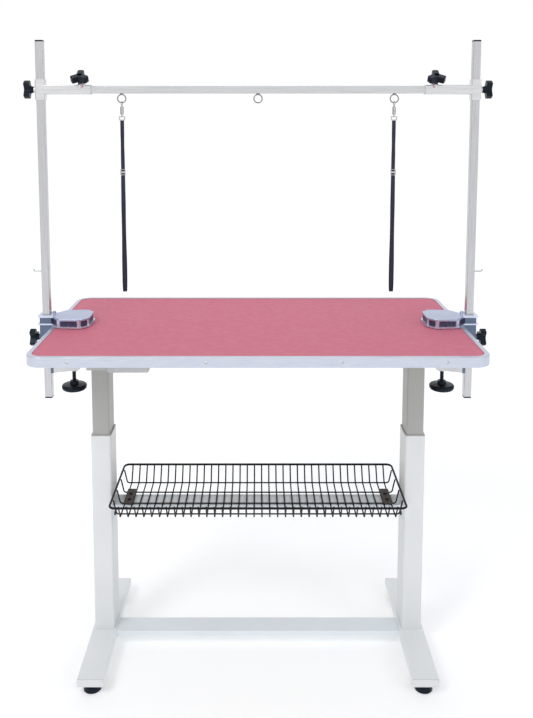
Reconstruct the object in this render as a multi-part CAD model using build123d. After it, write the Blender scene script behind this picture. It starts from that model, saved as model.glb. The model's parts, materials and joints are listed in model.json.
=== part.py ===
from build123d import *
import os

# Electric two-column grooming table with an overhead arm, in millimetres.
# X runs across the table to the right, Y from the front to the back and Z up.
# The origin is on the floor, under the centre of the table.

# Table top
TABLE_W = 1100
TABLE_D = 600
TOP_Z = 890
TRIM_H = 25
TRIM_WALL = 2
LIP = 12
LIP_T = 1.5
CORNER_R = 40
MAT_T = 3
BOARD_T = TRIM_H - 2 * LIP_T - MAT_T
BOARD_BOTTOM = TOP_Z - TRIM_H + LIP_T
RIVET_X = (-445, -121, 196, 442)

# Lifting columns and base
COLUMN_X = 421
COLUMN_Y = -15
OUTER_W, OUTER_D, OUTER_WALL = 54, 80, 2.5
INNER_W, INNER_D, INNER_WALL = 46, 72, 2
FOOT_W, FOOT_H = 68, 20
FOOT_FRONT, FOOT_REAR = -250, 185
FOOT_TOP = 44
FOOT_CAP = 4
OUTER_TOP = 595
INNER_BOTTOM = 275
GEARBOX_BOTTOM = 790
PLATE_T = 5
STRETCHER_D, STRETCHER_H, STRETCHER_Y = 60, 15, -32
LEVEL_D, LEVEL_H, LEVEL_INSET = 46, 15, 30
STUD_M10, LOCK_COLLAR_D = 10, 18
FOOT_WALL, CAP_SPIGOT = 2, 12
GLIDE_H, GLIDE_LIP = 60, 2
NUT_D, NUT_POST_BORE = 30, 24

# Lifting screws, driven through bevel gears by one cross shaft
SCREW_D = 16
SCREW_BOTTOM = 330
NUT_BOTTOM, NUT_TOP = 540, 575
SHAFT_Z = 826
SHAFT_HEX = 8
BEVEL_R, BEVEL_FACE = 16, 6
MOTOR_D, MOTOR_LENGTH, MOTOR_Y, MOTOR_Z = 64, 108, -60, 806
CASE_HALF_W, CASE_HALF_D, CASE_WALL = 26, 38, 3
JOURNAL_D = SHAFT_HEX + 4
CONTROL_X, CONTROL_Y, CONTROL_H = (-60, 60), (60, 150), 32
RAIL, RAIL_Y = 25, (-170, 170)
PLATE_INNER, PLATE_OUTER, PLATE_HALF_D = 40, 24, 270

# Wire basket on its beam
BEAM_TOP, BEAM_D, BEAM_H = 398, 60, 15
BASKET_Y = -17
RIM_X, RIM_Y, RIM_Z, RIM_D = 386, 128, 440, 6
FLOOR_X, FLOOR_Y = 372, 96
WIRE_D = 4
CROSS_WIRES = 36
CROSS_SPAN = 724
LONG_WIRE_Y = (-88, -31, 31, 88)
CLIP_X, CLIP_W, CLIP_L, CLIP_T = 352, 24, 84, 2
RIM_CORNER = 14
EAR_T, EAR_H, EAR_HALF_D = 3, 40, 34

# Overhead arm
TUBE, TUBE_WALL = 20, 1.5
POST_X = 570
POST_BOTTOM, POST_TOP = 684, 1645
CAP_T = 4
HOOK_Z = 1033
BAR_Z = 1517
BAR_HALF = 520
SLEEVE = 25
SLEEVE_H = 53
SLEEVE_END = 437
TOP_KNOB_X, TOP_KNOB_LEAN = 462, 35
RING_X = (-358, 0, 358)
RING_Z, RING_R, RING_WIRE = 1493.5, 10.75, 3
EYE_STEM_D, EYE_STEM_END, EYE_COLLAR_D = 5, 5, 9
EYE_NUT_AF, EYE_NUT_H = 8, 4
PIN_D, PIN_REACH, PIN_LIFT = 4, 21, 6
BOSS_D, BOSS_NUT_D, BOSS_H = 19, 13, 5
LEAN_FACE, LEAN_TIP = 22, 16

# Table clamps
PAD_TOP = TOP_Z + 24
COLLAR = 34
COLLAR_BOTTOM = TOP_Z - 50
CLAMP_SCREW_X, CLAMP_SCREW_D = 501, 10
JAW_BOTTOM, JAW_TOP, JAW_HALF_D = 757, 777, 19
CLAMP_KNOB_Z = 853
FLANGE, FLANGE_H, PANEL_INSET, PLATE_H = 3, 4, 3, 5
RIB, RIBS = 7, ((474, 52), (474, -52), (528, 47), (528, -47), (455, 30), (455, -30))
COLLAR_RIM = 20
PRESSURE_D, PRESSURE_H, PRESSURE_HUB_D, PRESSURE_HUB_H = 32, 7, 18, 5
SCREW_TIP_D = 8
HAND_KNOB_TOP, HAND_KNOB_BOTTOM, HAND_KNOB_R = 731, 706, 33.5

# Star knobs
KNOB_R, KNOB_H, HUB_H, HUB_R = 24, 16, 8, 7.5
RECESS_R, RECESS_H = 6.5, 4
STUD_D = 8

# Nooses
STRAP_W, STRAP_T = 10, 1.6
STRAP_TOP, STRAP_BOTTOM = 1436.3, 977
BUCKLE_Z = 1300
SNAP_R, SNAP_WIRE = 7, 3
SNAP_Z = 1479
BARREL_D, BARREL_BOTTOM = 9, 1452
BOLT_D, SWIVEL_D = 2.6, 4
LOOP_W, LOOP_H, LOOP_T, LOOP_Z = 16, 11, 2.5, 1442
SLIDE_W, SLIDE_H, SLIDE_T, SLIDE_Y = 14, 16, 1.4, -2.2

FIT = 0.05
GAP = 0.2


def block(x, y, z):
    """A box from its spans along X, Y and Z."""
    size = [b - a for a, b in (x, y, z)]
    centre = [(a + b) / 2 for a, b in (x, y, z)]
    return Pos(*centre) * Box(*size)


def rod(diameter, centre, axis, low, high):
    """A round bar along a row axis, from low to high on that axis."""
    turn = {"X": Rot(0, 90, 0), "Y": Rot(90, 0, 0), "Z": Rot(0, 0, 0)}[axis]
    place = {"X": (1, 0, 0), "Y": (0, 1, 0), "Z": (0, 0, 1)}[axis]
    middle = (low + high) / 2
    at = [c * (1 - p) + middle * p for c, p in zip(centre, place)]
    return Pos(*at) * turn * Cylinder(diameter / 2, high - low)


def rounded_tube(width, depth, wall, radius, length):
    """A hollow rectangular tube along Z, standing on the XY plane."""
    outside = RectangleRounded(width, depth, radius)
    inside = RectangleRounded(width - 2 * wall, depth - 2 * wall, max(radius - wall, 0.3))
    return extrude(outside - inside, length)


def wire_between(start, end, diameter):
    """A straight wire between two points."""
    line = Line(start, end)
    plane = Plane(origin=start, z_dir=(Vector(*end) - Vector(*start)))
    return sweep(plane * Circle(diameter / 2), path=line)


def mirrored(shape):
    """The same piece on the left side."""
    return mirror(shape, about=Plane.YZ)


def save(name, *shapes):
    """Writes one node, as its separate solids."""
    solids = []
    for shape in shapes:
        solids += shape.solids()
    export_step(Compound(children=solids) if len(solids) > 1 else solids[0], f"parts/{name}.step")


def save_pair(name, *shapes):
    """Writes the right-hand piece and its mirror image."""
    save(f"{name}_right", *shapes)
    save(f"{name}_left", *[mirrored(shape) for shape in shapes])


# ---------------------------------------------------------------- base


def base():
    foot_mid = (FOOT_FRONT + FOOT_REAR) / 2
    foot_length = FOOT_REAR - FOOT_FRONT - 2 * FOOT_CAP
    lay = Pos(COLUMN_X, foot_mid + foot_length / 2, FOOT_TOP - FOOT_H / 2) * Rot(90, 0, 0)
    foot = lay * rounded_tube(FOOT_W, FOOT_H, FOOT_WALL, 3, foot_length)
    level_y = (FOOT_FRONT + LEVEL_INSET, FOOT_REAR - LEVEL_INSET)
    under = FOOT_TOP - FOOT_H
    for y in level_y:
        foot -= rod(STUD_M10 + 2 * FIT, (COLUMN_X, y, 0), "Z", under - 1, under + FOOT_WALL + 1)
    save_pair("foot", foot)

    caps = []
    for y, way in ((FOOT_FRONT, 1), (FOOT_REAR, -1)):
        skin = extrude(RectangleRounded(FOOT_W, FOOT_H, 3), FOOT_CAP)
        inside = 2 * FOOT_WALL + GAP
        skin += Pos(0, 0, FOOT_CAP) * extrude(RectangleRounded(FOOT_W - inside, FOOT_H - inside, 1), CAP_SPIGOT)
        skin = fillet(skin.faces().sort_by(Axis.Z)[0].edges(), 1.5)
        cap = Pos(COLUMN_X, y, FOOT_TOP - FOOT_H / 2) * Rot(-90 * way, 0, 0) * skin
        caps += [cap, mirrored(cap)]
    save("foot_end_caps", *caps)

    feet = []
    for y in level_y:
        dome = Pos(COLUMN_X, y, LEVEL_H / 2) * Cone(LEVEL_D / 2, LEVEL_D / 2 - 3, LEVEL_H)
        dome = fillet(dome.faces().sort_by(Axis.Z)[-1].edges(), 4)
        dome = fillet(dome.faces().sort_by(Axis.Z)[0].edges(), 1)
        stud = rod(STUD_M10, (COLUMN_X, y, 0), "Z", LEVEL_H, under + 10)
        collar = rod(LOCK_COLLAR_D, (COLUMN_X, y, 0), "Z", LEVEL_H, under)
        one = dome + stud + collar
        feet += [one, mirrored(one)]
    save("levelling_feet", *feet)

    rail = rounded_tube(STRETCHER_H, STRETCHER_D, 2, 2, 2 * (COLUMN_X - FOOT_W / 2))
    rail = Pos(-(COLUMN_X - FOOT_W / 2), STRETCHER_Y, FOOT_TOP - STRETCHER_H / 2) * Rot(0, 90, 0) * rail
    save("stretcher", rail)

    tube = rounded_tube(OUTER_W, OUTER_D, OUTER_WALL, 6, OUTER_TOP - FOOT_TOP)
    plate = extrude(RectangleRounded(OUTER_W, OUTER_D, 6), 3)
    save_pair("outer_column", Pos(COLUMN_X, COLUMN_Y, FOOT_TOP) * (tube + plate))

    inside_w, inside_d = OUTER_W - 2 * OUTER_WALL, OUTER_D - 2 * OUTER_WALL
    ring = RectangleRounded(inside_w, inside_d, 3.5) - RectangleRounded(INNER_W + GAP, INNER_D + GAP, 5.1)
    lip = RectangleRounded(OUTER_W, OUTER_D, 6) - RectangleRounded(INNER_W + GAP, INNER_D + GAP, 5.1)
    glide = Pos(0, 0, OUTER_TOP - GLIDE_H) * extrude(ring, GLIDE_H)
    glide += Pos(0, 0, OUTER_TOP) * extrude(lip, GLIDE_LIP)
    glide = Pos(COLUMN_X, COLUMN_Y, 0) * glide
    save("column_glides", glide, mirrored(glide))

    floor_z = FOOT_TOP + 3
    post = rod(NUT_D, (COLUMN_X, COLUMN_Y, 0), "Z", floor_z, NUT_BOTTOM)
    post -= rod(NUT_POST_BORE, (COLUMN_X, COLUMN_Y, 0), "Z", floor_z, NUT_BOTTOM)
    nut = rod(NUT_D, (COLUMN_X, COLUMN_Y, 0), "Z", NUT_BOTTOM, NUT_TOP)
    nut -= rod(SCREW_D + 2 * FIT, (COLUMN_X, COLUMN_Y, 0), "Z", NUT_BOTTOM, NUT_TOP)
    save("lift_nuts", post, nut, mirrored(post), mirrored(nut))

    beam_end = COLUMN_X - OUTER_W / 2
    beam = rounded_tube(BEAM_H, BEAM_D, 1.5, 2, 2 * (beam_end - EAR_T))
    beam = Pos(-beam_end + EAR_T, COLUMN_Y, BEAM_TOP - BEAM_H / 2) * Rot(0, 90, 0) * beam
    for side in (-1, 1):
        ear_x = sorted((side * (beam_end - EAR_T), side * beam_end))
        beam += block(ear_x, (COLUMN_Y - EAR_HALF_D, COLUMN_Y + EAR_HALF_D), (BEAM_TOP - EAR_H, BEAM_TOP))
    save("basket_beam", beam)

    screws = []
    head_x = beam_end - EAR_T
    for y in (COLUMN_Y - 22, COLUMN_Y + 22):
        head = rod(10, (0, y, BEAM_TOP - 28), "X", head_x - 4, head_x)
        screws += [head, mirrored(head)]
    for x, y in ((COLUMN_X - 14, FOOT_FRONT + 60), (COLUMN_X + 14, FOOT_FRONT + 60)):
        head = rod(9, (x, y, 0), "Z", under - 3, under)
        screws += [head, mirrored(head)]
    save("base_screws", *screws)


# ---------------------------------------------------------------- basket


def basket():
    """A tray of wires: the grilles are kept apart by face, so that its mouth stays open."""
    floor_z = BEAM_TOP + WIRE_D / 2
    long_z = floor_z + WIRE_D
    step = CROSS_SPAN / (CROSS_WIRES - 1)
    cross_x = [-CROSS_SPAN / 2 + i * step for i in range(CROSS_WIRES)]
    rim_in = RIM_D / 2 + WIRE_D / 2 + 0.15
    clear = WIRE_D / 2 + 0.1

    floor = [rod(WIRE_D, (x, 0, floor_z), "Y", BASKET_Y - FLOOR_Y, BASKET_Y + FLOOR_Y) for x in cross_x]
    floor += [rod(WIRE_D, (0, BASKET_Y + y, long_z), "X", -FLOOR_X, FLOOR_X) for y in LONG_WIRE_Y]
    save("basket_floor_wires", *floor)

    for name, way in (("front", -1), ("back", 1)):
        wires = []
        for x in cross_x:
            low = (x, BASKET_Y + way * (FLOOR_Y + clear), floor_z)
            high = (x, BASKET_Y + way * (RIM_Y - rim_in), RIM_Z + 1)
            wires.append(wire_between(low, high, WIRE_D))
        save(f"basket_{name}_wires", *wires)

    wires = []
    for way in (-1, 1):
        for y in LONG_WIRE_Y:
            low = (way * (FLOOR_X + clear), BASKET_Y + y, long_z)
            high = (way * (RIM_X - rim_in), BASKET_Y + y, RIM_Z + 1)
            wires.append(wire_between(low, high, WIRE_D))
    save("basket_end_wires", *wires)

    outside = extrude(RectangleRounded(2 * RIM_X + RIM_D, 2 * RIM_Y + RIM_D, RIM_CORNER + RIM_D / 2), RIM_D)
    inside = extrude(RectangleRounded(2 * RIM_X - RIM_D, 2 * RIM_Y - RIM_D, RIM_CORNER - RIM_D / 2), RIM_D)
    rim = outside - inside
    rim = fillet(rim.edges().filter_by(lambda e: e.length > 20 or e.geom_type == GeomType.CIRCLE), RIM_D / 2 - 0.1)
    save("basket_rim", Pos(0, BASKET_Y, RIM_Z - RIM_D / 2) * rim)

    clip_z = long_z + WIRE_D / 2
    plate = extrude(RectangleRounded(CLIP_W, CLIP_L, 3), CLIP_T)
    plate = Pos(CLIP_X, COLUMN_Y, clip_z) * plate
    for y in (COLUMN_Y - 16, COLUMN_Y + 16):
        plate += rod(9, (CLIP_X, y, 0), "Z", clip_z + CLIP_T, clip_z + CLIP_T + 3)
    save("basket_clips", plate, mirrored(plate))


# ---------------------------------------------------------------- table


def outline(inset):
    """The table top's rounded outline, drawn in by inset."""
    return RectangleRounded(TABLE_W - 2 * inset, TABLE_D - 2 * inset, CORNER_R - inset)


def table():
    bottom = TOP_Z - TRIM_H
    wall = Pos(0, 0, bottom) * extrude(outline(0), TRIM_H)
    wall = fillet(wall.faces().sort_by(Axis.Z)[-1].edges(), 1.5)
    wall = fillet(wall.faces().sort_by(Axis.Z)[0].edges(), 1.5)
    wall -= Pos(0, 0, bottom + LIP_T) * extrude(outline(TRIM_WALL), TRIM_H - 2 * LIP_T)
    wall -= Pos(0, 0, bottom - 1) * extrude(outline(LIP), TRIM_H + 2)
    save("edge_trim", wall)

    inside = TRIM_WALL + 0.1
    save("table_board", Pos(0, 0, BOARD_BOTTOM) * extrude(outline(inside), BOARD_T))
    save("table_mat", Pos(0, 0, BOARD_BOTTOM + BOARD_T) * extrude(outline(inside), MAT_T))

    rivets = []
    for way in (-1, 1):
        for x in RIVET_X:
            head = Pos(x, way * (TABLE_D / 2 + 0.6), TOP_Z - TRIM_H / 2) * Rot(-90 * way, 0, 0)
            rivets.append(head * Cone(3.5, 2, 1.2))
    save("trim_rivets", *rivets)

    side_x = (COLUMN_X - PLATE_INNER, COLUMN_X + PLATE_OUTER)
    side = block(side_x, (-PLATE_HALF_D, PLATE_HALF_D), (BOARD_BOTTOM - PLATE_T, BOARD_BOTTOM))
    save("side_plates", side, mirrored(side))
    rails = []
    for y in RAIL_Y:
        rail = rounded_tube(RAIL, RAIL, 1.5, 2, 2 * side_x[0])
        rails.append(Pos(-side_x[0], y, BOARD_BOTTOM - RAIL / 2) * Rot(0, 90, 0) * rail)
    save("cross_rails", *rails)

    tube = rounded_tube(INNER_W, INNER_D, INNER_WALL, 5, GEARBOX_BOTTOM - INNER_BOTTOM)
    save_pair("inner_column", Pos(COLUMN_X, COLUMN_Y, INNER_BOTTOM) * tube)


# ---------------------------------------------------------------- lift drive


def drive():
    """Two gearboxes, the screws that hang from them, the cross shaft and the motor."""
    top = BOARD_BOTTOM - PLATE_T
    for side, name in ((1, "right"), (-1, "left")):
        front = COLUMN_Y - CASE_HALF_D if side == 1 else MOTOR_Y - MOTOR_D / 2 - 2
        x = sorted((side * (COLUMN_X - CASE_HALF_W), side * (COLUMN_X + CASE_HALF_W)))
        case = block(x, (front, COLUMN_Y + CASE_HALF_D), (GEARBOX_BOTTOM, top))
        hollow_x = (x[0] + CASE_WALL, x[1] - CASE_WALL)
        hollow_y = (COLUMN_Y - CASE_HALF_D + CASE_WALL + 1, COLUMN_Y + CASE_HALF_D - CASE_WALL - 1)
        case -= block(hollow_x, hollow_y, (GEARBOX_BOTTOM + 5, top - CASE_WALL))
        case -= rod(SCREW_D + 2 * FIT, (side * COLUMN_X, COLUMN_Y, 0), "Z", GEARBOX_BOTTOM - 1, GEARBOX_BOTTOM + 6)
        bore = sorted((side * (COLUMN_X - CASE_HALF_W - 4), side * (COLUMN_X - CASE_HALF_W + 6)))
        case -= rod(JOURNAL_D + 2 * FIT, (0, COLUMN_Y, SHAFT_Z), "X", *bore)
        save(f"gearbox_{name}", case)

        screw = rod(SCREW_D, (side * COLUMN_X, COLUMN_Y, 0), "Z", SCREW_BOTTOM, SHAFT_Z - BEVEL_R)
        gear = Pos(side * COLUMN_X, COLUMN_Y, SHAFT_Z - BEVEL_R + BEVEL_FACE / 2) * Cone(
            BEVEL_R - 0.5, BEVEL_R - 0.5 - BEVEL_FACE, BEVEL_FACE)
        save(f"lift_screw_{name}", screw + gear)

    hexagon = RegularPolygon(SHAFT_HEX / 2, 6, major_radius=False)
    reach = COLUMN_X - BEVEL_R + BEVEL_FACE
    shaft = Pos(-reach, COLUMN_Y, SHAFT_Z) * Rot(0, 90, 0) * extrude(hexagon, 2 * reach)
    for side in (1, -1):
        journal = sorted((side * (COLUMN_X - CASE_HALF_W - 6), side * (COLUMN_X - BEVEL_R)))
        shaft += rod(JOURNAL_D, (0, COLUMN_Y, SHAFT_Z), "X", *journal)
        bevel = Rot(0, 90 * side, 0) * Cone(BEVEL_R - 0.5, BEVEL_R - 0.5 - BEVEL_FACE, BEVEL_FACE)
        shaft += Pos(side * (COLUMN_X - BEVEL_R + BEVEL_FACE / 2), COLUMN_Y, SHAFT_Z) * bevel
    save("drive_shaft", shaft)

    low = -(COLUMN_X - CASE_HALF_W)
    motor = rod(MOTOR_D, (0, MOTOR_Y, MOTOR_Z), "X", low, low + MOTOR_LENGTH)
    motor = fillet(motor.faces().sort_by(Axis.X)[-1].edges(), 8)
    save("lift_motor", motor)

    box = block(CONTROL_X, CONTROL_Y, (BOARD_BOTTOM - CONTROL_H, BOARD_BOTTOM))
    box = fillet(box.faces().sort_by(Axis.Z)[0].edges(), 4)
    save("control_box", box)


# ---------------------------------------------------------------- knobs


def star_knob():
    """A three-armed knob head and its threaded stud, along +Z, with its hub's face at Z = 0."""
    arms = Circle(11)
    for turn in (90, 210, 330):
        arms += Rot(0, 0, turn) * Pos(KNOB_R / 2, 0) * Rectangle(KNOB_R, 17)
    arms = fillet(arms.vertices(), 4)
    head = Pos(0, 0, HUB_H) * extrude(arms, KNOB_H)
    head = fillet(head.faces().sort_by(Axis.Z)[-1].edges(), 2.5)
    head -= Pos(0, 0, HUB_H + KNOB_H - RECESS_H / 2) * Cylinder(RECESS_R, RECESS_H)
    head += Pos(0, 0, HUB_H / 2) * Cone(HUB_R, HUB_R + 3, HUB_H)
    return head


def knob_set(name, place, reach):
    """A knob on its stud; the stud reaches back from the hub by reach."""
    stud = Pos(0, 0, -reach / 2) * Cylinder(STUD_D / 2, reach)
    knob = star_knob() + stud
    save_pair(name, place * knob)


# ---------------------------------------------------------------- clamps


def pad_outline(grow):
    """The fan-shaped pad that rests on the table top, with its neck to the collar."""
    half = [(POST_X, 16), (553, 16), (529, 50), (470, 55), (450, 34)]
    points = half + [(x, -y) for x, y in reversed(half)]
    face = make_face(Polyline(*points, close=True))
    corners = [v for v in face.vertices() if v.X < POST_X - 1]
    face = fillet([v for v in corners if v.X < 475], 17)
    face = fillet([v for v in face.vertices() if 520 < v.X < 535], 12)
    return offset(face, grow) if grow else face


def clamps():
    base_z = TOP_Z + GAP
    flange = Pos(0, 0, base_z) * extrude(pad_outline(FLANGE), FLANGE_H)
    core = Pos(0, 0, base_z) * extrude(pad_outline(-PANEL_INSET), PAD_TOP - base_z)
    top = Pos(0, 0, PAD_TOP - PLATE_H) * extrude(pad_outline(0), PLATE_H)
    top = fillet(top.faces().sort_by(Axis.Z)[-1].edges(), 1.8)
    body = flange + core + top
    for x, y in RIBS:
        body += Pos(x, y, (base_z + PAD_TOP) / 2 - 1) * Box(RIB, RIB, PAD_TOP - base_z - 3)

    collar = block((POST_X - COLLAR / 2, POST_X + COLLAR / 2), (-COLLAR / 2, COLLAR / 2), (COLLAR_BOTTOM, PAD_TOP + 2))
    collar = fillet(collar.edges().filter_by(Axis.Z), 4)
    rim_x, rim_y = (POST_X - COLLAR_RIM, POST_X + COLLAR_RIM), (-COLLAR_RIM, COLLAR_RIM)
    rim = block(rim_x, rim_y, (PAD_TOP - FLANGE_H, PAD_TOP + 2))
    foot = block(rim_x, rim_y, (base_z, base_z + FLANGE_H))
    lug = rod(9, (POST_X - 16, 12, 0), "Z", PAD_TOP, PAD_TOP + 7)
    web_x = (TABLE_W / 2 + 1.5, POST_X - TUBE / 2 - 0.5)
    jaw_y = (-JAW_HALF_D, JAW_HALF_D)
    web = block(web_x, jaw_y, (JAW_BOTTOM, base_z + FLANGE_H))
    jaw = block((CLAMP_SCREW_X - 18, web_x[1]), jaw_y, (JAW_BOTTOM, JAW_TOP))
    wedge = make_face(Polyline((web_x[1] + 1, JAW_BOTTOM - 1), (CLAMP_SCREW_X - 19, JAW_BOTTOM - 1),
                               (CLAMP_SCREW_X - 19, JAW_BOTTOM + 9), (web_x[1] + 1, JAW_BOTTOM), close=True))
    jaw -= Pos(0, 25, 0) * extrude(Plane.XZ * wedge, 50)
    boss = rod(24, (CLAMP_SCREW_X, 0, 0), "Z", JAW_BOTTOM + 3, JAW_TOP)
    nut = rod(15, (0, 0, CLAMP_KNOB_Z), "X", POST_X + COLLAR / 2 - 1, POST_X + COLLAR / 2 + 4)

    body += collar + rim + foot + lug + web + jaw + boss + nut
    hole = TUBE / 2 + 0.4
    body -= block((POST_X - hole, POST_X + hole), (-hole, hole), (COLLAR_BOTTOM - 1, PAD_TOP + 3))
    body -= rod(CLAMP_SCREW_D + 2 * FIT, (CLAMP_SCREW_X, 0, 0), "Z", JAW_BOTTOM - 2, JAW_TOP + 1)
    body -= rod(STUD_D + 2 * FIT, (0, 0, CLAMP_KNOB_Z), "X", POST_X, POST_X + 40)
    save_pair("clamp_casting", body)

    tip = BOARD_BOTTOM - GAP
    hub_bottom = tip - PRESSURE_H - PRESSURE_HUB_H
    pad = rod(PRESSURE_D, (CLAMP_SCREW_X, 0, 0), "Z", tip - PRESSURE_H, tip)
    pad += rod(PRESSURE_HUB_D, (CLAMP_SCREW_X, 0, 0), "Z", hub_bottom, tip - PRESSURE_H)
    pad -= rod(SCREW_TIP_D + 2 * FIT, (CLAMP_SCREW_X, 0, 0), "Z", hub_bottom - 1, tip - 4 + GAP)
    save_pair("pressure_pad", pad)

    screw = rod(CLAMP_SCREW_D, (CLAMP_SCREW_X, 0, 0), "Z", HAND_KNOB_TOP - 20, hub_bottom - 2)
    screw += rod(SCREW_TIP_D, (CLAMP_SCREW_X, 0, 0), "Z", hub_bottom - 2, tip - 4)
    shoulder = HAND_KNOB_TOP - 10
    profile = Polyline((0, HAND_KNOB_BOTTOM), (24, HAND_KNOB_BOTTOM))
    profile += ThreePointArc((24, HAND_KNOB_BOTTOM), (31.5, HAND_KNOB_BOTTOM + 2.5), (HAND_KNOB_R, shoulder - 7))
    profile += ThreePointArc((HAND_KNOB_R, shoulder - 7), (32.5, shoulder - 2), (28, shoulder))
    profile += Polyline((28, shoulder), (13, shoulder + 2), (11, HAND_KNOB_TOP), (0, HAND_KNOB_TOP),
                        (0, HAND_KNOB_BOTTOM))
    wheel = revolve(Plane.XZ * make_face(profile), Axis.Z)
    wheel = Pos(CLAMP_SCREW_X, 0, 0) * wheel
    wheel -= rod(CLAMP_SCREW_D + 0.02, (CLAMP_SCREW_X, 0, 0), "Z", HAND_KNOB_TOP - 20, HAND_KNOB_TOP + 1)
    save_pair("clamp_screw", screw, wheel)

    face = POST_X + COLLAR / 2 + 4
    knob_set("clamp_star_knob", Pos(face + GAP, 0, CLAMP_KNOB_Z) * Rot(0, 90, 0), face - POST_X - TUBE / 2)


# ---------------------------------------------------------------- arm


def arm():
    tube = rounded_tube(TUBE, TUBE, TUBE_WALL, 1.5, POST_TOP - POST_BOTTOM - 2 * CAP_T)
    post = Pos(POST_X, 0, POST_BOTTOM + CAP_T) * tube
    side_x = POST_X + TUBE / 2
    pin_path = FilletPolyline((side_x - 1, 0, HOOK_Z), (side_x + PIN_REACH, 0, HOOK_Z),
                              (side_x + PIN_REACH + 2, 0, HOOK_Z + PIN_LIFT), radius=4)
    pin = sweep(Plane(origin=pin_path @ 0, z_dir=pin_path % 0) * Circle(PIN_D / 2), path=pin_path)
    save_pair("post_tube", post + pin)

    caps = []
    for z, turn in ((POST_TOP, 180), (POST_BOTTOM, 0)):
        cap = extrude(RectangleRounded(TUBE, TUBE, 2), CAP_T)
        cap = fillet(cap.faces().sort_by(Axis.Z)[0].edges(), 1)
        inside = TUBE - 2 * TUBE_WALL - GAP
        cap += Pos(0, 0, CAP_T) * extrude(RectangleRounded(inside, inside, 1), CAP_SPIGOT)
        caps.append(Pos(POST_X, 0, z) * Rot(turn, 0, 0) * cap)
    save_pair("post_caps", *caps)

    half, hole = SLEEVE / 2, TUBE / 2 + 0.5
    sleeve = block((POST_X - half, POST_X + half), (-half, half), (BAR_Z - SLEEVE_H / 2, BAR_Z + SLEEVE_H / 2))
    sleeve = fillet(sleeve.edges().filter_by(Axis.Z), 2.5)
    reach = block((SLEEVE_END, POST_X - half + 1), (-half, half), (BAR_Z - half, BAR_Z + half))
    reach = fillet(reach.edges().filter_by(Axis.X), 2.5)
    corner = sleeve + reach
    lean = Pos(TOP_KNOB_X, 0, BAR_Z) * Rot(TOP_KNOB_LEAN, 0, 0)
    corner += lean * Pos(0, 0, LEAN_FACE - 6) * Cylinder(BOSS_D / 2, 8)
    corner += lean * Pos(0, 0, LEAN_FACE - BOSS_H / 2) * Cylinder(BOSS_NUT_D / 2, BOSS_H)
    corner += rod(BOSS_D, (0, 0, BAR_Z), "X", POST_X + half, POST_X + half + 2)
    corner += rod(BOSS_NUT_D, (0, 0, BAR_Z), "X", POST_X + half, POST_X + half + BOSS_H)
    corner -= block((POST_X - hole, POST_X + hole), (-hole, hole), (BAR_Z - SLEEVE_H, BAR_Z + SLEEVE_H))
    corner -= block((SLEEVE_END - 1, POST_X - half), (-hole, hole), (BAR_Z - hole, BAR_Z + hole))
    corner -= lean * Pos(0, 0, LEAN_FACE) * Cylinder(STUD_D / 2 + FIT, 2 * (LEAN_FACE - hole + 1))
    corner -= rod(STUD_D + 2 * FIT, (0, 0, BAR_Z), "X", POST_X + hole - 1, POST_X + 30)
    save_pair("corner_sleeve", corner)

    face = half + BOSS_H
    knob_set("corner_top_knob", lean * Pos(0, 0, LEAN_FACE + GAP), LEAN_FACE - LEAN_TIP)
    knob_set("corner_side_knob", Pos(POST_X + face + GAP, 0, BAR_Z) * Rot(0, 90, 0), face - TUBE / 2)

    bar = rounded_tube(TUBE, TUBE, TUBE_WALL, 1.5, 2 * BAR_HALF)
    bar = Pos(-BAR_HALF, 0, BAR_Z) * Rot(0, 90, 0) * bar
    under = BAR_Z - TUBE / 2
    for x in RING_X:
        bar -= rod(EYE_STEM_D + 2 * FIT, (x, 0, 0), "Z", under - 1, BAR_Z)
    save("cross_bar", bar)

    # Each ring's stem ends in a nut inside the bar, on its lower wall.
    seat = under + TUBE_WALL
    eyes = []
    for x in RING_X:
        eye = Pos(x, 0, RING_Z) * Rot(90, 0, 0) * Torus(RING_R, RING_WIRE / 2)
        eye += rod(EYE_COLLAR_D, (x, 0, 0), "Z", under - 3, under)
        eye += rod(EYE_STEM_D, (x, 0, 0), "Z", RING_Z + RING_R, seat + EYE_STEM_END)
        nut = extrude(RegularPolygon(EYE_NUT_AF / 2, 6, major_radius=False), EYE_NUT_H)
        eye += Pos(x, 0, seat) * nut
        eyes.append(eye)
    save("eye_rings", *eyes)


# ---------------------------------------------------------------- nooses


def strap_route(x):
    """One length of webbing: down from the swivel ring, round the fold, and back up to the slide."""
    points = [(0, STRAP_TOP), (-1, 1372), (1, BUCKLE_Z), (5, 1180), (9, 1075), (10, STRAP_BOTTOM + 1),
              (-10, STRAP_BOTTOM + 1), (-10, 1070), (-8, 1180), (-3.2, BUCKLE_Z - 10)]
    radii = [300, 600, 600, 600, 9.8, 9.8, 600, 600]
    return points, radii


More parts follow.
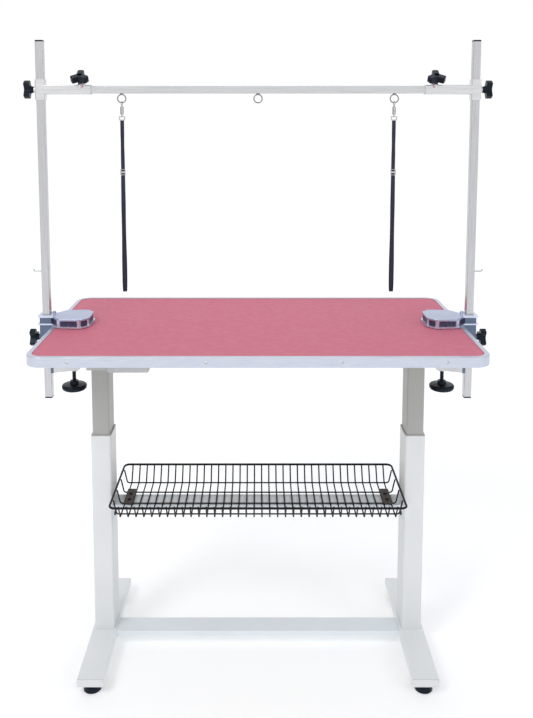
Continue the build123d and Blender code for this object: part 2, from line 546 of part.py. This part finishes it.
def nooses():
    for name, x in (("left", RING_X[0]), ("right", RING_X[2])):
        # The snap's hook hangs in the eye ring and opens on its rear side.
        ring = Pos(x, 0, SNAP_Z) * Rot(0, 90, 0) * Torus(SNAP_R, SNAP_WIRE / 2)
        ring -= block((x - 3, x + 3), (3.2, 12), (SNAP_Z - 5.5, SNAP_Z + 0.5))
        barrel = rod(BARREL_D, (x, 0, 0), "Z", BARREL_BOTTOM, SNAP_Z - SNAP_R)
        keeper = block((x - 3.2, x + 3.2), (0, 9.6), (BARREL_BOTTOM + 6, SNAP_Z - SNAP_R))
        hook = ring + barrel + keeper
        hook -= rod(BOLT_D + 2 * FIT, (x, SNAP_R, 0), "Z", BARREL_BOTTOM + 5, SNAP_Z + 0.5)
        hook -= rod(SWIVEL_D + 2 * FIT, (x, 0, 0), "Z", BARREL_BOTTOM - 1, BARREL_BOTTOM + 11)
        save(f"snap_hook_{name}", hook)

        bolt = rod(BOLT_D, (x, SNAP_R, 0), "Z", BARREL_BOTTOM + 2, SNAP_Z + 0.2)
        bolt += rod(BOLT_D, (x, 0, BARREL_BOTTOM + 3), "Y", SNAP_R - 1, SNAP_R + 6)
        save(f"snap_bolt_{name}", bolt)

        stem = rod(SWIVEL_D, (x, 0, 0), "Z", BARREL_BOTTOM - 5, BARREL_BOTTOM + 10)
        frame = Rectangle(LOOP_W, LOOP_H) - Rectangle(LOOP_W - 2 * LOOP_T, LOOP_H - 2 * LOOP_T)
        loop = Pos(x, LOOP_T / 2, LOOP_Z) * Rot(90, 0, 0) * extrude(frame, LOOP_T)
        slide = Rectangle(SLIDE_W, SLIDE_H)
        slide -= Pos(0, 4.5) * Rectangle(STRAP_W + 0.6, 4)
        slide -= Pos(0, -4.5) * Rectangle(STRAP_W + 0.6, 4)
        slide = Pos(x, SLIDE_Y, BUCKLE_Z) * Rot(90, 0, 0) * extrude(slide, SLIDE_T)
        save(f"noose_hardware_{name}", stem + loop, slide)

        points, radii = strap_route(x)
        line = FilletPolyline(*[(y, z) for y, z in points], radius=radii)
        band = trace(line, line_width=STRAP_T)
        strap = Pos(x - STRAP_W / 2, 0, 0) * extrude(Plane.YZ * band, STRAP_W)
        save(f"noose_strap_{name}", strap)


def main():
    os.makedirs("parts", exist_ok=True)
    base()
    basket()
    table()
    drive()
    clamps()
    arm()
    nooses()
    print("pieces:", len(os.listdir("parts")))


main()
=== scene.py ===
import json
import math

import bpy
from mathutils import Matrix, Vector


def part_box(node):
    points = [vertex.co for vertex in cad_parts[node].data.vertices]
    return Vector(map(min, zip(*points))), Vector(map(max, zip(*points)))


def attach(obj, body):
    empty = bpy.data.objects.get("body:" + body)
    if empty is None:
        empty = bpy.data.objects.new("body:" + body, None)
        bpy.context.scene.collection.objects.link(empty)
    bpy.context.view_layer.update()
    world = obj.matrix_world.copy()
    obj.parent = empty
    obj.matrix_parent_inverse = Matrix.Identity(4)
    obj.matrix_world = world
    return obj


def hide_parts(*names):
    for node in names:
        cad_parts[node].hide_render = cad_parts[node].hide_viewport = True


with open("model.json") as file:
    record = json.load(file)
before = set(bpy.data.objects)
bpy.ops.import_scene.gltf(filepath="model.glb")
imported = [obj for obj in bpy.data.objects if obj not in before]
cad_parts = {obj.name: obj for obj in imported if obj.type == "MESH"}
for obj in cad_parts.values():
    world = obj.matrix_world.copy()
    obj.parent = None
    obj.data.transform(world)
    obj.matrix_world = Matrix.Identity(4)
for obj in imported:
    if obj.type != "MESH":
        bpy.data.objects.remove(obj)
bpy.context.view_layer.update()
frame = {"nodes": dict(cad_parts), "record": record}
nodes = frame["nodes"]
MM = 0.001


# ---------------------------------------------------------------- shader helpers


def material(name, colour, roughness, metallic=0.0, **sockets):
    """A node material whose constant values sit on the shader's own sockets."""
    mat = bpy.data.materials.new(name)
    mat.use_nodes = True
    shader = mat.node_tree.nodes["Principled BSDF"]
    shader.inputs["Base Color"].default_value = (*colour, 1)
    shader.inputs["Roughness"].default_value = roughness
    shader.inputs["Metallic"].default_value = metallic
    for socket, value in sockets.items():
        shader.inputs[socket.replace("_", " ")].default_value = value
    return mat


def add(mat, kind, **inputs):
    """One shader node with its inputs set."""
    node = mat.node_tree.nodes.new(kind)
    for key, value in inputs.items():
        node.inputs[key.replace("_", " ")].default_value = value
    return node


def link(mat, out_node, out_name, in_node, in_name):
    mat.node_tree.links.new(out_node.outputs[out_name], in_node.inputs[in_name])


def coordinates(mat, scale=(1, 1, 1)):
    """Object coordinates, which are the row frame's metres, stretched by scale."""
    source = add(mat, "ShaderNodeTexCoord")
    mapping = add(mat, "ShaderNodeMapping")
    mapping.inputs["Scale"].default_value = scale
    link(mat, source, "Object", mapping, "Vector")
    return mapping


def noise(mat, scale, detail=3.0, stretch=(1, 1, 1)):
    where = coordinates(mat, stretch)
    node = add(mat, "ShaderNodeTexNoise", Scale=scale, Detail=detail)
    link(mat, where, "Vector", node, "Vector")
    return node


def ramp(mat, source, out_name, low, high, start=0.0, end=1.0):
    """A two-colour ramp over a texture's value."""
    node = add(mat, "ShaderNodeValToRGB")
    node.color_ramp.elements[0].position = start
    node.color_ramp.elements[1].position = end
    node.color_ramp.elements[0].color = (*low, 1)
    node.color_ramp.elements[1].color = (*high, 1)
    link(mat, source, out_name, node, "Fac")
    return node


def colour_from(mat, node):
    link(mat, node, "Color", mat.node_tree.nodes["Principled BSDF"], "Base Color")


def roughness_from(mat, node):
    link(mat, node, "Color", mat.node_tree.nodes["Principled BSDF"], "Roughness")


def bump(mat, source, out_name, distance, strength=1.0):
    """A bump of a real depth, in metres, on top of any bump already there."""
    shader = mat.node_tree.nodes["Principled BSDF"]
    node = add(mat, "ShaderNodeBump", Strength=strength, Distance=distance)
    link(mat, source, out_name, node, "Height")
    before = shader.inputs["Normal"].links
    if before:
        mat.node_tree.links.new(before[0].from_socket, node.inputs["Normal"])
    link(mat, node, "Normal", shader, "Normal")
    return node


def grey(value):
    return (value, value, value)


# ---------------------------------------------------------------- materials


def powder_coat(name, colour, roughness):
    """Sprayed powder: a soft orange peel and a faint cloudiness."""
    mat = material(name, colour, roughness, Specular_IOR_Level=0.35)
    cloud = noise(mat, 9, 2)
    low = tuple(c * 0.965 for c in colour)
    colour_from(mat, ramp(mat, cloud, "Fac", low, colour, 0.3, 0.7))
    bump(mat, noise(mat, 520, 2), "Fac", 0.00012, 0.5)
    return mat


def drawn_steel(name, dark, light, along):
    """Bright drawn tube with fine lines along it; along is 0 for X and 2 for Z."""
    mat = material(name, light, 0.3, 1.0)
    stretch = [1, 1, 1]
    stretch[along] = 0.02
    lines = noise(mat, 500, 2, stretch)
    colour_from(mat, ramp(mat, lines, "Fac", dark, light, 0.3, 0.7))
    roughness_from(mat, ramp(mat, noise(mat, 18, 3), "Fac", grey(0.25), grey(0.34), 0.35, 0.7))
    bump(mat, lines, "Fac", 0.00002, 0.2)
    return mat


def trim_aluminium():
    mat = material("trim_aluminium", (0.57, 0.60, 0.69), 0.34, 0.75)
    lines = noise(mat, 700, 2, (0.03, 1, 1))
    colour_from(mat, ramp(mat, lines, "Fac", (0.52, 0.55, 0.64), (0.61, 0.64, 0.72), 0.3, 0.7))
    bump(mat, lines, "Fac", 0.00003, 0.3)
    return mat


def casting(name, colour, roughness, metallic=0.9):
    """Finished casting: a faint cloudiness and a fine grain."""
    mat = material(name, colour, roughness, metallic)
    dark = tuple(c * 0.88 for c in colour)
    colour_from(mat, ramp(mat, noise(mat, 30, 2), "Fac", dark, colour, 0.3, 0.7))
    low, high = grey(roughness - 0.06), grey(roughness + 0.08)
    roughness_from(mat, ramp(mat, noise(mat, 140, 3), "Fac", low, high, 0.3, 0.7))
    bump(mat, noise(mat, 900, 3), "Fac", 0.00006, 0.4)
    return mat


def casting_panel():
    """The casting's recessed wall panels: dark blue paint over a coarse stipple."""
    mat = material("stippled_panel", (0.035, 0.035, 0.085), 0.45, 0.3)
    stipple = add(mat, "ShaderNodeTexVoronoi", Scale=520.0)
    link(mat, coordinates(mat), "Vector", stipple, "Vector")
    colour_from(mat, ramp(mat, stipple, "Distance", (0.16, 0.15, 0.26), (0.025, 0.025, 0.065), 0.1, 0.55))
    bump(mat, stipple, "Distance", 0.0008, 0.8)
    return mat


def mat_rubber():
    """Rose rubber with a fine pebbled grain and a faint mottle."""
    rose = (0.56, 0.15, 0.215)
    mat = material("rose_rubber_mat", rose, 0.62, Specular_IOR_Level=0.35)
    mottle = noise(mat, 1400, 2)
    dark = (0.49, 0.118, 0.172)
    light = (0.62, 0.178, 0.245)
    colour_from(mat, ramp(mat, mottle, "Fac", dark, light, 0.36, 0.64))
    pebble = add(mat, "ShaderNodeTexVoronoi", Scale=620.0)
    link(mat, coordinates(mat), "Vector", pebble, "Vector")
    bump(mat, pebble, "Distance", 0.0003, 0.6)
    roughness_from(mat, ramp(mat, noise(mat, 60, 3), "Fac", grey(0.55), grey(0.72), 0.3, 0.7))
    return mat


def black_plastic():
    mat = material("black_moulded_plastic", (0.004, 0.005, 0.009), 0.32, Specular_IOR_Level=0.25,
                   Specular_Tint=(0.60, 0.78, 1.0, 1.0))
    roughness_from(mat, ramp(mat, noise(mat, 120, 3), "Fac", grey(0.26), grey(0.42), 0.3, 0.7))
    bump(mat, noise(mat, 1600, 2), "Fac", 0.00005, 0.5)
    return mat


def coated_wire():
    mat = material("black_coated_wire", (0.005, 0.004, 0.004), 0.36, Specular_IOR_Level=0.2)
    drip = noise(mat, 160, 3)
    roughness_from(mat, ramp(mat, drip, "Fac", grey(0.28), grey(0.5), 0.3, 0.7))
    bump(mat, drip, "Fac", 0.0001, 0.5)
    return mat


def dark_steel():
    mat = material("blackened_steel", (0.03, 0.022, 0.02), 0.42, 0.6)
    wear = noise(mat, 240, 4)
    colour_from(mat, ramp(mat, wear, "Fac", (0.018, 0.012, 0.010), (0.06, 0.045, 0.04), 0.35, 0.75))
    bump(mat, wear, "Fac", 0.00008, 0.4)
    return mat


def nickel(name, colour):
    mat = material(name, colour, 0.22, 1.0)
    roughness_from(mat, ramp(mat, noise(mat, 300, 3), "Fac", grey(0.16), grey(0.32), 0.3, 0.7))
    bump(mat, noise(mat, 700, 2), "Fac", 0.00003, 0.4)
    return mat


def machined_steel():
    """Turned steel: fine rings along Z."""
    mat = material("machined_steel", (0.42, 0.42, 0.43), 0.35, 1.0)
    rings = add(mat, "ShaderNodeTexWave", Scale=60.0, Distortion=0.4)
    rings.bands_direction = "Z"
    link(mat, coordinates(mat), "Vector", rings, "Vector")
    colour_from(mat, ramp(mat, rings, "Fac", (0.34, 0.34, 0.35), (0.5, 0.5, 0.51)))
    bump(mat, rings, "Fac", 0.0003, 0.5)
    return mat


def housing_plastic():
    mat = material("grey_housing", (0.50, 0.51, 0.52), 0.5)
    colour_from(mat, ramp(mat, noise(mat, 14, 2), "Fac", (0.46, 0.47, 0.48), (0.53, 0.54, 0.55), 0.3, 0.7))
    bump(mat, noise(mat, 900, 2), "Fac", 0.0001, 0.5)
    return mat


def plywood():
    """Rotary-cut face veneer, with its grain along X."""
    mat = material("plywood_board", (0.60, 0.46, 0.30), 0.6)
    grain = noise(mat, 60, 5, (0.06, 1, 1))
    colour_from(mat, ramp(mat, grain, "Fac", (0.46, 0.33, 0.20), (0.68, 0.53, 0.36), 0.3, 0.7))
    bump(mat, grain, "Fac", 0.0003, 0.4)
    return mat


def webbing():
    """Woven tape: a fine twill from two crossed waves."""
    mat = material("black_webbing", (0.010, 0.012, 0.026), 0.75, Sheen_Weight=0.1, Sheen_Roughness=0.4)
    where = coordinates(mat)
    warp = add(mat, "ShaderNodeTexWave", Scale=240.0, Distortion=0.0)
    warp.bands_direction = "X"
    weft = add(mat, "ShaderNodeTexWave", Scale=150.0, Distortion=0.0)
    weft.bands_direction = "Z"
    link(mat, where, "Vector", warp, "Vector")
    link(mat, where, "Vector", weft, "Vector")
    colour_from(mat, ramp(mat, warp, "Fac", (0.006, 0.008, 0.020), (0.018, 0.023, 0.052), 0.2, 0.9))
    bump(mat, warp, "Fac", 0.0002, 0.6)
    bump(mat, weft, "Fac", 0.0003, 0.8)
    return mat


MATS = {
    "powder_white": powder_coat("white_powder_coat", (0.72, 0.735, 0.745), 0.38),
    # The inner columns' coat is darkened to the shade under the table top: painted shade.
    "powder_grey": powder_coat("powder_coat_painted_shade", (0.39, 0.39, 0.375), 0.4),
    "steel_tube": drawn_steel("bright_steel_tube", (0.49, 0.49, 0.50), (0.60, 0.60, 0.61), 2),
    "cast_aluminium": casting("satin_casting", (0.47, 0.52, 0.69), 0.32),
    "trim_aluminium": trim_aluminium(),
    "mat_rubber": mat_rubber(),
    "board": plywood(),
    "black_plastic": black_plastic(),
    "black_wire": coated_wire(),
    "dark_steel": dark_steel(),
    "nickel": nickel("nickel_plate", (0.50, 0.50, 0.51)),
    "screw_steel": machined_steel(),
    "housing_grey": housing_plastic(),
    "webbing": webbing(),
}
BAR_STEEL = drawn_steel("bar_steel_tube", (0.56, 0.57, 0.58), (0.66, 0.67, 0.68), 0)
# The sleeves take a lighter copy of the tube's drawn steel: painted light.
SLEEVE_STEEL_PAINTED_LIGHT = drawn_steel("sleeve_steel_painted_light", (0.62, 0.62, 0.63), (0.74, 0.74, 0.75), 0)
# The eye rings take a darker copy of the nickel plate.
RING_NICKEL = nickel("darker_nickel_plate", (0.24, 0.24, 0.25))
# The feet take a lighter copy of the white coat: painted light.
FOOT_COAT_PAINTED_LIGHT = powder_coat("white_powder_coat_painted_light", (0.83, 0.86, 0.87), 0.38)
# The stretcher takes a lighter, bluer copy of the white coat: painted light.
STRETCHER_COAT_PAINTED_LIGHT = powder_coat("cool_powder_coat_painted_light", (0.77, 0.82, 0.85), 0.38)
# The basket beam takes a darker, bluer copy of the white coat: painted shade under the basket.
BEAM_COAT_PAINTED_SHADE = powder_coat("blue_powder_coat_painted_shade", (0.62, 0.68, 0.74), 0.38)
PANEL = casting_panel()
POLISHED = casting("polished_casting", (0.66, 0.70, 0.84), 0.26, 0.7)
COLLAR = casting("blue_grey_casting", (0.12, 0.16, 0.24), 0.34, 0.7)
JAW = casting("bare_casting", (0.62, 0.62, 0.63), 0.42)


def paint(piece, mat):
    piece.data.materials.clear()
    piece.data.materials.append(mat)


def paint_cad():
    """Every CAD node takes the material of its slot in the record, unless it has a material of its own:
    lighter copies of their coat or steel on the sleeves, feet and stretcher are painted light, and the darker
    copy on the basket beam is painted shade.
    """
    for part in frame["record"]["subparts"]:
        node = nodes[part["node"]]
        for slot in node.material_slots:
            slot.material = MATS[part["material_slot"]]
    own = {
        "cross_bar": BAR_STEEL,
        "corner_sleeve_left": SLEEVE_STEEL_PAINTED_LIGHT,
        "corner_sleeve_right": SLEEVE_STEEL_PAINTED_LIGHT,
        "eye_rings": RING_NICKEL,
        "foot_left": FOOT_COAT_PAINTED_LIGHT,
        "foot_right": FOOT_COAT_PAINTED_LIGHT,
        "stretcher": STRETCHER_COAT_PAINTED_LIGHT,
        "basket_beam": BEAM_COAT_PAINTED_SHADE,
    }
    for name, mat in own.items():
        for slot in nodes[name].material_slots:
            slot.material = mat


# ---------------------------------------------------------------- mesh helpers


def body_with(node):
    """The body that a CAD node belongs to."""
    for body, members in frame["record"]["behaviour"]["bodies"].items():
        if node in members:
            return body
    raise ValueError(node)


def place(piece, node, slot):
    """A new piece stands for a CAD node, rides on its body and has that slot's material."""
    paint(piece, MATS[slot])
    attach(piece, body_with(node))
    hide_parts(node)


def mesh_piece(name, verts, faces):
    mesh = bpy.data.meshes.new(name)
    mesh.from_pydata([tuple(v) for v in verts], [], faces)
    mesh.validate()
    for face in mesh.polygons:
        face.use_smooth = True
    piece = bpy.data.objects.new(name, mesh)
    bpy.context.scene.collection.objects.link(piece)
    return piece


def wire(name, routes, diameter, cyclic=False, sides=2):
    """Round wires, one spline for each route. The route's own points round its bends."""
    curve = bpy.data.curves.new(name, "CURVE")
    curve.dimensions = "3D"
    curve.bevel_depth = diameter / 2
    curve.bevel_resolution = sides
    curve.use_fill_caps = True
    for route in routes:
        spline = curve.splines.new("POLY")
        spline.points.add(len(route) - 1)
        for point, at in zip(spline.points, route):
            point.co = (*at, 1)
        spline.use_cyclic_u = cyclic
        spline.use_smooth = True
    piece = bpy.data.objects.new(name, curve)
    bpy.context.scene.collection.objects.link(piece)
    return piece


def rounded(points, radius, steps=5, closed=False):
    """A route with each corner turned through an arc of the given radius."""
    points = [Vector(p) for p in points]
    count = len(points)
    route = []
    for i, corner in enumerate(points):
        if not closed and i in (0, count - 1):
            route.append(corner)
            continue
        back = (points[i - 1] - corner).normalized()
        ahead = (points[(i + 1) % count] - corner).normalized()
        half = back.angle(ahead) / 2
        reach = radius / math.tan(half)
        middle = (back + ahead).normalized()
        centre = corner + middle * (radius / math.sin(half))
        start = corner + back * reach - centre
        end = corner + ahead * reach - centre
        sweep = start.angle(end)
        for step in range(steps + 1):
            t = step / steps
            spoke = start * math.sin((1 - t) * sweep) + end * math.sin(t * sweep)
            route.append(centre + spoke / math.sin(sweep))
    return route


# ---------------------------------------------------------------- basket

WIRE_D = 4 * MM
RIM_BEND = 15 * MM
WIRE_BEND = 7 * MM
WELD = 1 * MM
CROSS_COUNT = 36
CROSS_SPAN = 724 * MM
LONG_Y = (-88 * MM, -31 * MM, 31 * MM, 88 * MM)


def basket():
    """The welded wire tray: a heavy rim, cross wires bent up at both ends and four long wires."""
    rim_low, rim_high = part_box("basket_rim")
    floor_low, floor_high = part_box("basket_floor_wires")
    rim_d = rim_high.z - rim_low.z
    rim_z = (rim_low.z + rim_high.z) / 2
    middle_y = (rim_low.y + rim_high.y) / 2
    rim_x = rim_high.x - rim_d / 2
    rim_y = (rim_high.y - rim_low.y - rim_d) / 2
    floor_z = floor_low.z + WIRE_D / 2
    top_z = rim_z + WELD

    corners = [(-rim_x, -rim_y), (rim_x, -rim_y), (rim_x, rim_y), (-rim_x, rim_y)]
    loop = rounded([(x, middle_y + y, rim_z) for x, y in corners], RIM_BEND, 6, closed=True)
    rim = wire("basket_rim_wire", [loop], rim_d, cyclic=True, sides=3)
    place(rim, "basket_rim", "black_wire")

    floor_half = (floor_high.y - floor_low.y) / 2
    top_y = rim_y - rim_d / 2 - WIRE_D / 2
    routes = []
    for i in range(CROSS_COUNT):
        x = -CROSS_SPAN / 2 + CROSS_SPAN * i / (CROSS_COUNT - 1)
        points = [
            (x, middle_y - top_y, top_z),
            (x, middle_y - floor_half - WELD, floor_z),
            (x, middle_y + floor_half + WELD, floor_z),
            (x, middle_y + top_y, top_z),
        ]
        routes.append(rounded(points, WIRE_BEND))
    cross = wire("basket_cross_wires", routes, WIRE_D)
    place(cross, "basket_floor_wires", "black_wire")
    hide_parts("basket_front_wires", "basket_back_wires")

    top_x = rim_x - rim_d / 2 - WIRE_D / 2
    long_z = floor_z + WIRE_D
    routes = []
    for y in LONG_Y:
        points = [
            (-top_x, middle_y + y, top_z),
            (-floor_high.x - WELD, middle_y + y, long_z),
            (floor_high.x + WELD, middle_y + y, long_z),
            (top_x, middle_y + y, top_z),
        ]
        routes.append(rounded(points, WIRE_BEND))
    long_wires = wire("basket_long_wires", routes, WIRE_D)
    place(long_wires, "basket_end_wires", "black_wire")


# ---------------------------------------------------------------- nooses

STRAP_WIDTH = 10 * MM
STRAP_THICK = 1.6 * MM
# The tape's centre line, as (Y, Z) in millimetres: down through the slide, round the fold and back up.
STRAP_ROUTE = [(0, 1436.3), (-1, 1372), (1, 1300), (5, 1180), (9, 1075), (10, 978),
               (-10, 978), (-10, 1070), (-8, 1180), (-3.2, 1290)]
# Heights between which the tape turns about its own length and back, and the most degrees it turns.
STRAP_TURNS = [(1314, 1432, 38), (992, 1286, 46)]


def centreline(name, points):
    """Points along the smooth NURBS line whose control points are given."""
    curve = bpy.data.curves.new(name, "CURVE")
    curve.dimensions = "3D"
    curve.resolution_u = 12
    spline = curve.splines.new("NURBS")
    spline.points.add(len(points) - 1)
    for point, at in zip(spline.points, points):
        point.co = (*at, 1)
    spline.order_u = 3
    spline.use_endpoint_u = True
    holder = bpy.data.objects.new(name, curve)
    line = bpy.data.meshes.new_from_object(holder)
    path = [v.co.copy() for v in line.vertices]
    bpy.data.objects.remove(holder)
    bpy.data.meshes.remove(line)
    return path


def tape_turn(z):
    """How far the tape is turned from facing the front, at a height in metres."""
    for low, high, degrees in STRAP_TURNS:
        share = (z / MM - low) / (high - low)
        if 0 < share < 1:
            return math.radians(degrees) * math.sin(math.pi * share) ** 2
    return 0.0


# Half of the tape's outline with its raised selvedges, in half widths and half thicknesses. The other
# half is the same turned round.
HALF_SECTION = [(-1.0, -0.55), (-0.86, -1.0), (-0.6, -0.72), (0.0, -0.66), (0.6, -0.72), (0.86, -1.0),
                (1.0, -0.55)]


def strap(side):
    """One length of tape with raised selvedges, slightly twisted above and below its slide."""
    node = f"noose_strap_{side}"
    low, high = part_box(node)
    x = (low.x + high.x) / 2
    route = [(x, y * MM, z * MM) for y, z in STRAP_ROUTE]
    path = centreline(f"{node}_line", route)
    hand = 1 if side == "left" else -1
    half, thick = STRAP_WIDTH / 2, STRAP_THICK / 2
    section = HALF_SECTION + [(-u, -v) for u, v in HALF_SECTION]
    verts, faces = [], []
    for i, at in enumerate(path):
        ahead = path[min(i + 1, len(path) - 1)] - path[max(i - 1, 0)]
        turn = hand * tape_turn(at.z)
        across = Vector((math.cos(turn), math.sin(turn), 0))
        out = across.cross(ahead).normalized()
        for u, v in section:
            verts.append(at + across * (u * half) + out * (v * thick))
    n = len(section)
    for i in range(len(path) - 1):
        for k in range(n):
            a, b = i * n + k, i * n + (k + 1) % n
            faces.append((a, b, b + n, a + n))
    faces.append(tuple(range(n))[::-1])
    last = (len(path) - 1) * n
    faces.append(tuple(range(last, last + n)))
    piece = mesh_piece(f"noose_tape_{side}", verts, faces)
    place(piece, node, "webbing")


# ---------------------------------------------------------------- clamp castings

SATIN_FACE, PANEL_FACE, POLISHED_FACE, COLLAR_FACE, JAW_FACE = range(5)
RIBS = [(474, 52), (474, -52), (528, 47), (528, -47), (455, 30), (455, -30)]
RIB_HALF = 5
COLLAR_X = 550
JAW_TOP = 780
COLLAR_FLANGE = 889
WALL_LOW, WALL_HIGH = 895, 909
WALL_EDGE = 0.5


def casting_finish(face):
    """Which of the casting's five finishes a face has, from where it is in millimetres."""
    x, y, z = abs(face.center.x) / MM, face.center.y / MM, face.center.z / MM
    upright = abs(face.normal.z) < 0.3
    on_rib = any(abs(x - a) < RIB_HALF and abs(y - b) < RIB_HALF for a, b in RIBS)
    if x > COLLAR_X:
        painted = z < COLLAR_FLANGE or (upright and WALL_LOW < z < WALL_HIGH)
        return COLLAR_FACE if painted else POLISHED_FACE
    if z < JAW_TOP:
        return JAW_FACE
    if upright and WALL_LOW < z < WALL_HIGH - WALL_EDGE:
        return POLISHED_FACE if on_rib else PANEL_FACE
    return POLISHED_FACE if z < WALL_LOW + WALL_EDGE else SATIN_FACE


def clamp(side):
    """The casting with a satin top, dark stippled panels, polished edges, a painted collar and a bare jaw."""
    node = f"clamp_casting_{side}"
    piece = bpy.data.objects.new(f"clamp_body_{side}", nodes[node].data.copy())
    bpy.context.scene.collection.objects.link(piece)
    piece.data.materials.clear()
    for mat in (MATS["cast_aluminium"], PANEL, POLISHED, COLLAR, JAW):
        piece.data.materials.append(mat)
    for face in piece.data.polygons:
        face.material_index = casting_finish(face)
    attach(piece, f"clamp_{side}")
    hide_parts(node)


# ---------------------------------------------------------------- stage

FLOOR_HALF = 15
AIM = Vector((0, 0, 0.9))
# Name, place, diameter, power and colour.
LIGHTS = [
    ("key", (-2.2, -2.6, 3.6), 1.6, 46, (1.0, 0.98, 0.96)),
    ("fill", (2.8, -2.2, 2.2), 1.6, 16, (0.90, 0.94, 1.0)),
    ("top", (0.0, 0.6, 4.2), 2.6, 30, (0.92, 0.95, 1.0)),
]


def fade(tree, start, end, colour):
    """A ramp from white to a colour."""
    node = tree.nodes.new("ShaderNodeValToRGB")
    first, last = node.color_ramp.elements
    first.position, first.color = start, (1, 1, 1, 1)
    last.position, last.color = end, (*colour, 1)
    return node


def studio():
    """Pale floor, white surroundings that dim overhead and to the sides, and three large soft lights."""
    ground = bpy.data.meshes.new("studio_floor")
    h = FLOOR_HALF
    ground.from_pydata([(-h, -h, 0), (h, -h, 0), (h, h, 0), (-h, h, 0)], [], [(0, 1, 2, 3)])
    floor = bpy.data.objects.new("studio_floor", ground)
    bpy.context.scene.collection.objects.link(floor)
    pale = material("pale_floor", (0.93, 0.93, 0.93), 0.9, Emission_Strength=1.0)
    spread = add(pale, "ShaderNodeVectorMath")
    spread.operation = "LENGTH"
    link(pale, coordinates(pale, (0.1, 0.1, 0.1)), "Vector", spread, "Vector")
    glow = ramp(pale, spread, "Value", grey(0.20), grey(0.36), 0.12, 0.45)
    link(pale, glow, "Color", pale.node_tree.nodes["Principled BSDF"], "Emission Color")
    paint(floor, pale)

    world = bpy.data.worlds.new("studio_air")
    bpy.context.scene.world = world
    world.use_nodes = True
    tree = world.node_tree
    back = tree.nodes["Background"]
    where = tree.nodes.new("ShaderNodeTexCoord")
    parts = tree.nodes.new("ShaderNodeSeparateXYZ")
    side = tree.nodes.new("ShaderNodeMath")
    side.operation = "ABSOLUTE"
    across = fade(tree, 0.38, 0.95, (0.42, 0.44, 0.48))
    overhead = fade(tree, 0.40, 0.95, (0.62, 0.64, 0.68))
    both = tree.nodes.new("ShaderNodeMix")
    both.data_type = "RGBA"
    both.blend_type = "MULTIPLY"
    both.inputs["Factor"].default_value = 1.0
    tree.links.new(where.outputs["Generated"], parts.inputs["Vector"])
    tree.links.new(parts.outputs["X"], side.inputs[0])
    tree.links.new(side.outputs["Value"], across.inputs["Fac"])
    tree.links.new(parts.outputs["Z"], overhead.inputs["Fac"])
    tree.links.new(across.outputs["Color"], both.inputs["A"])
    tree.links.new(overhead.outputs["Color"], both.inputs["B"])
    tree.links.new(both.outputs["Result"], back.inputs["Color"])

    for name, at, size, power, colour in LIGHTS:
        data = bpy.data.lights.new(name, "AREA")
        data.shape = "DISK"
        data.size = size
        data.energy = power
        data.color = colour
        lamp = bpy.data.objects.new(name, data)
        lamp.location = at
        lamp.rotation_euler = (AIM - Vector(at)).to_track_quat("-Z", "Y").to_euler()
        bpy.context.scene.collection.objects.link(lamp)


CAMERA_AT = (0, -2.091, 1.4618)
CAMERA_PITCH = math.radians(6)


def camera():
    """In front of the table, a little above its top, tipped down by six degrees."""
    data = bpy.data.cameras.new("camera")
    data.sensor_width = 36
    data.lens = 39.63
    data.shift_x = 0.0118
    data.shift_y = -0.230
    data.clip_end = 60
    cam = bpy.data.objects.new("camera", data)
    cam.location = CAMERA_AT
    cam.rotation_euler = (math.pi / 2 - CAMERA_PITCH, 0, 0)
    bpy.context.scene.collection.objects.link(cam)
    bpy.context.scene.camera = cam
    bpy.context.scene.view_settings.view_transform = "Standard"


paint_cad()
basket()
for side in ("left", "right"):
    strap(side)
for side in ("left", "right"):
    clamp(side)
studio()
camera()
